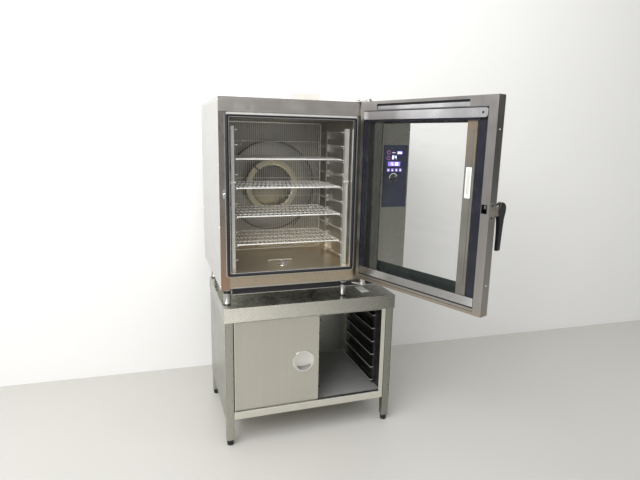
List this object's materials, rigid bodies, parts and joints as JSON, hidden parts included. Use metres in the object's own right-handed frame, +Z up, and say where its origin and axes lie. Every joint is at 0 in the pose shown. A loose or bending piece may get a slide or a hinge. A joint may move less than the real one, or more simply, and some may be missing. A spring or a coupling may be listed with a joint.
{
  "type": "combi steamer oven on stand",
  "caption": "Combi steamer oven with an open glazed side-hung door, wire racks, fan behind a wire guard, lit control column, on a stainless stand with sliding doors.",
  "frame": {"origin": "middle of the footprint of the whole part as stored, door open, at floor level", "axes": "+Z up, -Y the front, +X to the right as seen from the front"},
  "size_m": [1.0206, 1.4666, 1.7348],
  "materials": {
    "sheet_steel": "brushed stainless sheet",
    "bright_steel": "bright polished stainless",
    "cavity_steel": "smooth stainless with heat tint",
    "dark_steel": "dark oxidised stainless",
    "motor_casting": "painted casting",
    "black_plastic": "satin moulded plastic",
    "black_rubber": "matt silicone",
    "clear_glass": "clear toughened glass with a printed black border",
    "control_glass": "dark glass over a lit display",
    "lamp_lens": "white lens",
    "grey_plastic": "satin grey",
    "brass": "turned"
  },
  "bodies": {
    "cabinet": {"base_pan": "dark_steel", "cable_gland": "black_plastic", "cavity_liner": "cavity_steel", "control_column_fascia": "sheet_steel", "control_electronics": "black_plastic", "control_glass": "control_glass", "door_gasket": "black_rubber", "drain_pipe": "dark_steel", "drain_strainer": "bright_steel", "fan_guard": "bright_steel", "fan_motor": "motor_casting", "front_header": "sheet_steel", "front_sill": "sheet_steel", "heating_element": "dark_steel", "latch_striker": "bright_steel", "left_front_post": "sheet_steel", "left_side_panel": "sheet_steel", "lower_hinge_bracket": "sheet_steel", "oven_foot_front_left": "bright_steel", "oven_foot_front_right": "bright_steel", "oven_foot_rear_left": "bright_steel", "oven_foot_rear_right": "bright_steel", "rack_support_left": "bright_steel", "rack_support_right": "bright_steel", "rear_panel": "sheet_steel", "right_side_panel": "sheet_steel", "runner_frame_left": "sheet_steel", "runner_frame_right": "sheet_steel", "stand_cabinet": "sheet_steel", "stand_leg_front_left": "sheet_steel", "stand_leg_front_right": "sheet_steel", "stand_leg_rear_left": "sheet_steel", "stand_leg_rear_right": "sheet_steel", "stand_top": "sheet_steel", "top_cover": "sheet_steel", "upper_hinge_bracket": "sheet_steel", "vent_box": "bright_steel", "water_injector": "bright_steel", "water_inlet_valve": "brass"},
    "door": {"door_frame": "sheet_steel", "door_outer_glass": "clear_glass", "led_strip_hinge_side": "lamp_lens", "led_strip_latch_side": "lamp_lens", "door_handle_bracket": "sheet_steel"},
    "inner_glass": {"door_inner_glass": "clear_glass", "inner_glass_top_bar": "bright_steel", "inner_glass_bottom_bar": "bright_steel"},
    "handle": {"door_handle_grip": "black_plastic"},
    "latch": {"latch_hook": "sheet_steel"},
    "rack_1": {"wire_rack_1": "bright_steel"},
    "rack_2": {"wire_rack_2": "bright_steel"},
    "rack_3": {"wire_rack_3": "bright_steel"},
    "rack_4": {"wire_rack_4": "bright_steel"},
    "fan": {"fan_shaft": "bright_steel", "fan_wheel": "cavity_steel"},
    "knob": {"control_knob": "grey_plastic"},
    "stand_door_front": {"sliding_door_front": "sheet_steel", "cup_pull_front": "bright_steel"},
    "stand_door_rear": {"sliding_door_rear": "sheet_steel", "cup_pull_rear": "bright_steel"}
  },
  "joints": [
    {"name": "door_hinge", "type": "hinge", "parent": "cabinet", "child": "door", "pos_m": [0.1893, -0.06669, 0.8191], "axis": [0, 0, 1], "range_deg": [-110.66, 19.34]},
    {"name": "inner_glass_hinge", "type": "hinge", "parent": "door", "child": "inner_glass", "pos_m": [0.16892, -0.08208, 0.8191], "axis": [0, 0, -1], "range_deg": [0, 45]},
    {"name": "handle_pivot", "type": "hinge", "parent": "door", "child": "handle", "pos_m": [0.47891, -0.70154, 1.2471], "axis": [0.3528, -0.9357, 0], "range_deg": [0, 28], "stiffness_Nm_per_rad": 1.5, "springref_deg": -11.46},
    {"name": "latch_pivot", "type": "hinge", "parent": "door", "child": "latch", "pos_m": [0.43046, -0.70057, 1.2438], "axis": [-0.3528, 0.9357, 0], "range_deg": [0, 20]},
    {"name": "rack_1_slide", "type": "slide", "parent": "cabinet", "child": "rack_1", "axis": [0, -1, 0], "range_m": [0, 0.3]},
    {"name": "rack_2_slide", "type": "slide", "parent": "cabinet", "child": "rack_2", "axis": [0, -1, 0], "range_m": [0, 0.3]},
    {"name": "rack_3_slide", "type": "slide", "parent": "cabinet", "child": "rack_3", "axis": [0, -1, 0], "range_m": [0, 0.3]},
    {"name": "rack_4_slide", "type": "slide", "parent": "cabinet", "child": "rack_4", "axis": [0, -1, 0], "range_m": [0, 0.3]},
    {"name": "fan_spin", "type": "hinge", "parent": "cabinet", "child": "fan", "pos_m": [-0.1523, 0.45931, 1.2338], "axis": [0, 1, 0], "continuous": true},
    {"name": "knob_turn", "type": "hinge", "parent": "cabinet", "child": "knob", "pos_m": [0.3557, -0.02869, 1.3158], "axis": [0, -1, 0], "continuous": true},
    {"name": "stand_door_front_slide", "type": "slide", "parent": "cabinet", "child": "stand_door_front", "axis": [1, 0, 0], "range_m": [0, 0.36]},
    {"name": "stand_door_rear_slide", "type": "slide", "parent": "cabinet", "child": "stand_door_rear", "axis": [1, 0, 0], "range_m": [0, 0.36]}
  ],
  "couplings": [
    {"joint": "latch_pivot", "follows": "handle_pivot", "ratio": 0.65}
  ]
}
